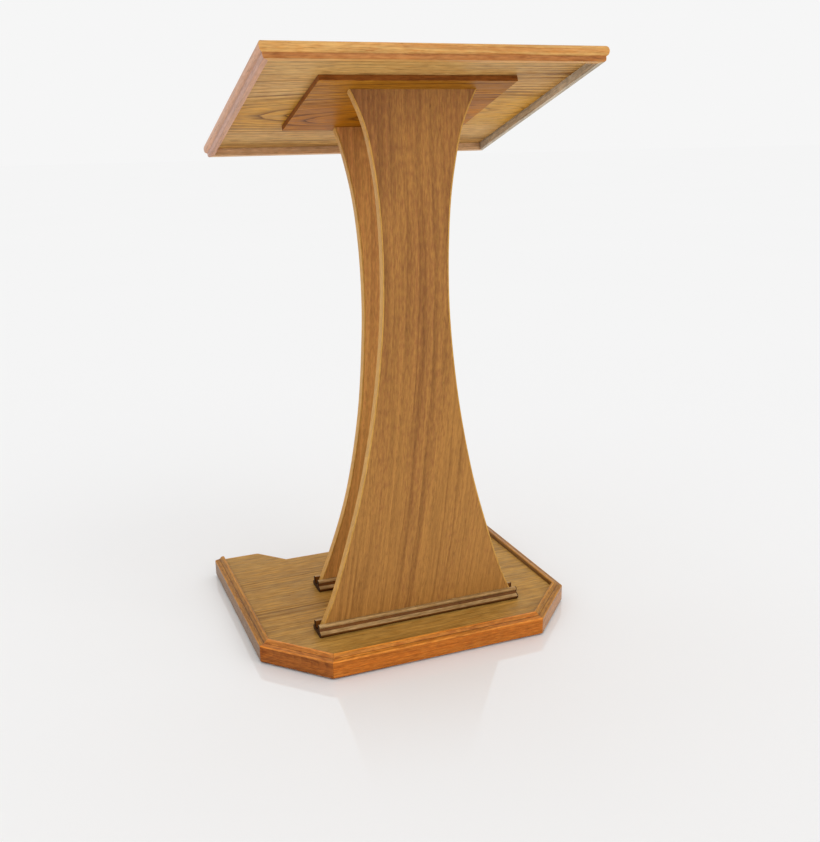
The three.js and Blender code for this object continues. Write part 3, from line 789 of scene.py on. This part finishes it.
cleat_colours = ((196, 158, 108), (180, 140, 90), (148, 106, 62))
cleat_finish = oak_finish(
    "cleat_timber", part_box("front_cleat")[0], LEFT_TO_RIGHT, FRONT_TO_BACK, cleat_colours,
    (0.005, 0.08, 0.05, 0.04, 0.02), satin=0.62, shine=0.2, wear_and_highlight=0.2,
)
for node in ("front_cleat", "rear_cleat"):
    fitted(node + "_block", eased(node, 0.0012), [cleat_finish], "hidden_timber", node)

# ---- desk board and mounting plate ----
# The desk is a 13 mm board, veneered on both faces with the grain left to right. Under
# it a 10 mm veneered plate spreads the load on the panels; its edges are coloured dark as painted
# shade.

glue_gap = 0.0003
desk_thickness, plate_thickness = 0.013, 0.010
desk_origin = Vector((0, desk_top_edge.y, desk_top_edge.z)) - desk_slope * glue_gap
cathedral = desk_origin + desk_slope * 0.29  # where the arches lie on the underside
top_cathedral = desk_origin + desk_slope * 0.24
plate_depth = desk_thickness + plate_thickness
desk_veneer = oak_finish(
    "desk_veneer", cathedral - desk_up * desk_thickness, LEFT_TO_RIGHT, -desk_up,
    ((222, 178, 108), (208, 158, 88), (104, 56, 12)), (0.0084, 0.0, 0.011, 0.16, 0.06),
    fineness=0.6, heart=0.06, lines=0.9, fibres=0.2, shine=0.1, hollows=0.0,
)
desk_top_veneer = oak_finish(
    "desk_top_veneer", top_cathedral, LEFT_TO_RIGHT, desk_up,
    ((206, 156, 88), (192, 140, 74), (112, 66, 20)), (0.0095, 0.03, 0.014, 0.14, 0.08),
    heart=0.004, lines=0.6, fibres=0.24, wear_and_highlight=0.3, satin=0.38,
)
desk = eased("desk_board", 0.0005)
desk.normal_update()
for face in desk.faces:
    face.material_index = 1 if face.normal.dot(desk_up) > 0.9 else 0
fitted("desk_board_veneered", desk, [desk_veneer, desk_top_veneer], "desk_veneer", "desk_board")
plate_veneer = oak_finish(
    "plate_veneer", cathedral - desk_up * plate_depth, LEFT_TO_RIGHT, -desk_up,
    ((192, 130, 40), (174, 112, 28), (84, 42, 6)), (0.0084, 0.0, 0.015, 0.16, 0.06),
    fineness=0.6, heart=0.06, lines=0.9, fibres=0.2, shine=0.08, hollows=0.05,
)
# Painted shade: the plate's edges are coloured dark.
plate_edges_painted_shade = oak_finish(
    "plate_edges_painted_shade", cathedral, LEFT_TO_RIGHT, -desk_up, ((150, 91, 38), (132, 75, 28), (88, 46, 14)),
    (0.005, 0.3, 0.04, 0.03, 0.03), lines=0.4, wear_and_highlight=0.1, hollows=0.1,
)
plate = eased("mounting_plate", 0.0006)
plate.normal_update()
for face in plate.faces:
    face.material_index = 0 if abs(face.normal.dot(desk_up)) > 0.9 else 1
fitted("mounting_plate_veneered", plate, [plate_veneer, plate_edges_painted_shade], "desk_veneer", "mounting_plate")

# ---- desk mouldings ----
# Four lengths of solid oak, mitred at the corners, that frame the desk board. Each has a
# full bullnose, a quirk under it and a small bead that hangs below the board.

desk_half = max(co.x for co in desk_vertices) + glue_gap
desk_length = max((co - desk_origin).dot(desk_slope) for co in desk_vertices) + glue_gap
desk_corners = [
    desk_origin + LEFT_TO_RIGHT * (side * desk_half) + desk_slope * (reach * desk_length)
    for side, reach in ((-1, 1), (-1, 0), (1, 0), (1, 1))
]
nose, bead = 16.5, 11.0  # how far each stands out from the board
desk_profile = [(0, 0), (-8, 0)]
desk_profile += bend((-8, 0), (-nose, -0.3), (-nose, -9.4), 9)
desk_profile += bend((-nose, -9.4), (-nose, -18), (-bead - 0.6, -19), 8)
desk_profile += [(-bead, -19.6)]
desk_profile += bend((-bead, -19.6), (-bead - 0.6, -24), (-bead + 0.6, -26.4), 5)
desk_profile += bend((-bead + 0.6, -26.4), (-bead + 1.2, -28), (-bead + 3, -28), 4) + [(0, -28)]
flame = (0.0096, 0.048, 0.05, 0.09, 0.016)
even_grain = (0.008, 0.6, 0.08, 0.03, 0.03)
# For each side: the way it looks, its colours, the saw and the lines' strength.
desk_sides = {
    "left": (-LEFT_TO_RIGHT, ((212, 163, 132), (200, 150, 119), (172, 118, 90)), even_grain, 0.2),
    "high": (-desk_slope, ((224, 174, 104), (213, 157, 85), (178, 94, 32)), flame, 1.0),
    "right": (LEFT_TO_RIGHT, ((212, 164, 112), (196, 146, 92), (160, 110, 64)), even_grain, 0.3),
    "low": (desk_slope, ((206, 160, 112), (190, 142, 92), (150, 104, 58)), even_grain, 0.45),
}
# Painted shade: on the left and high sides the bead under the nose is coloured darker than the nose.
shaded_bead_colours = {
    "left": ((198, 156, 136), (184, 142, 122), (150, 108, 88)),
    "high": ((192, 128, 70), (170, 104, 50), (128, 68, 26)),
}
# Painted light: on the right and low sides the face towards the board is coloured far paler than the
# nose, to look lit.
lit_inner_colours = {
    "right": ((214, 198, 172), (176, 162, 140), (104, 90, 66)),
    "low": ((234, 196, 152), (220, 178, 134), (180, 132, 86)),
}


def desk_coat(x, y):
    """0 is the bullnose, 1 the bead under it and 2 the face towards the board."""
    board_underside, quirk = -13, -18.9
    if x > -bead + 2 and y < board_underside:
        return 2
    return 1 if y < quirk else 0


for i, (side, (outward, colours, saw, lines)) in enumerate(desk_sides.items()):
    start, end = desk_corners[i], desk_corners[(i + 1) % 4]
    finishes = [
        oak_finish(
            f"desk_{part}_{side}", start, end - start, facing, sheet, saw, lines=strength,
            fineness=0.8, satin=0.36, wear_and_highlight=0.4, fibres=0.2, hollows=0.2,
        )
        for part, facing, sheet, strength in (
            ("nose", outward, colours, lines),
            ("bead", outward, shaded_bead_colours.get(side, colours), 0.3),
            ("inner", -outward, lit_inner_colours.get(side, colours), 0.5),
        )
    ]
    run = moulding_run(desk_profile, start, end, -outward, desk_up, (1.0, 1.0), desk_coat)
    node = "desk_moulding_" + side
    fitted(node + "_run", run, finishes, "desk_oak", node)

# ---- paper stop ----
# A strip of solid oak with a rounded top, glued near the desk's low edge, that keeps
# papers on the slope.

stop_colours = ((206, 156, 96), (190, 138, 80), (158, 98, 50))
stop_finish = oak_finish(
    "stop_oak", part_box("paper_stop")[0], LEFT_TO_RIGHT, desk_up, stop_colours,
    (0.004, 0.1, 0.04, 0.04, 0.02), wear_and_highlight=0.5, satin=0.36,
)
fitted("paper_stop_strip", eased("paper_stop", 0.0009, 3), [stop_finish], "desk_oak", "paper_stop")

# ---- studio ----
# A pale seamless floor under an even white sky, with one large soft lamp from the
# audience's side. The floor is polished close to the base and dull further off.

bpy.ops.mesh.primitive_plane_add(size=60, location=(0, 0, -0.0002))
floor = bpy.context.object
floor.name = "studio_floor"
paint = bpy.data.materials.new("pale_floor")
paint.use_nodes = True
tree = paint.node_tree
shader = tree.nodes["Principled BSDF"]
where = place(tree, "TexCoord").outputs["Object"]
polished_half, polish_ends = (0.3, 0.24, 1), 0.42
folded = place(tree, "VectorMath", {0: where}, operation="ABSOLUTE").outputs[0]
past = place(tree, "VectorMath", {0: folded, 1: polished_half}, operation="SUBTRACT").outputs[0]
past = place(tree, "VectorMath", {0: past, 1: (0, 0, 0)}, operation="MAXIMUM").outputs[0]
away = place(tree, "VectorMath", {0: past}, operation="LENGTH").outputs["Value"]
polish = between(tree, away, 0.02, polish_ends, 1.0, 0.0)
tree.links.new(polish, shader.inputs["Coat Weight"])
haze = stretched_noise(tree, where, (0.8, 0.8, 0.8), 2)[0]
white = (0.922, 0.922, 0.922, 1)
tint = blend_colours(tree, haze, (0.914, 0.914, 0.914, 1), white)
tree.links.new(tint, shader.inputs["Base Color"])
shader.inputs["Roughness"].default_value = 1.0
shader.inputs["Specular IOR Level"].default_value = 0.0
shader.inputs["Coat IOR"].default_value = 1.8
shader.inputs["Coat Roughness"].default_value = 0.05
floor.data.materials.append(paint)
floor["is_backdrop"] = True

scene = bpy.context.scene
scene.view_settings.view_transform = "Standard"
sky = bpy.data.worlds.new("white_studio")
sky.use_nodes = True
background = sky.node_tree.nodes["Background"]
background.inputs["Color"].default_value = white
background.inputs["Strength"].default_value = 1.0
scene.world = sky

lamp = bpy.data.lights.new("soft_lamp", "SUN")
lamp.energy = 0.4
lamp.angle = math.radians(50)
soft_lamp = bpy.data.objects.new("soft_lamp", lamp)
soft_lamp.rotation_euler = (math.radians(55), 0, math.radians(28))
scene.collection.objects.link(soft_lamp)

# The camera stands at the audience's left, a little lower than the desk's high edge.
eye = Vector((-0.7179, -1.9175, 1.0341))
yaw, pitch, roll = 0.3779, 0.2900, 0.0138
level_reach = math.cos(pitch)
look = Vector((math.sin(yaw) * level_reach, math.cos(yaw) * level_reach, -math.sin(pitch)))
level = Vector((math.cos(yaw), -math.sin(yaw), 0))
down = look.cross(level)
image_right = level * math.cos(roll) + down * math.sin(roll)
image_down = down * math.cos(roll) - level * math.sin(roll)
lens = bpy.data.cameras.new("camera")
lens.lens = 42.7151
camera = bpy.data.objects.new("camera", lens)
turn = Matrix((image_right, -image_down, -look)).transposed().to_4x4()
camera.matrix_world = Matrix.Translation(eye) @ turn
scene.collection.objects.link(camera)
scene.camera = camera

# ---- sizes ----
# The box of the finished model.

low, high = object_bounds()
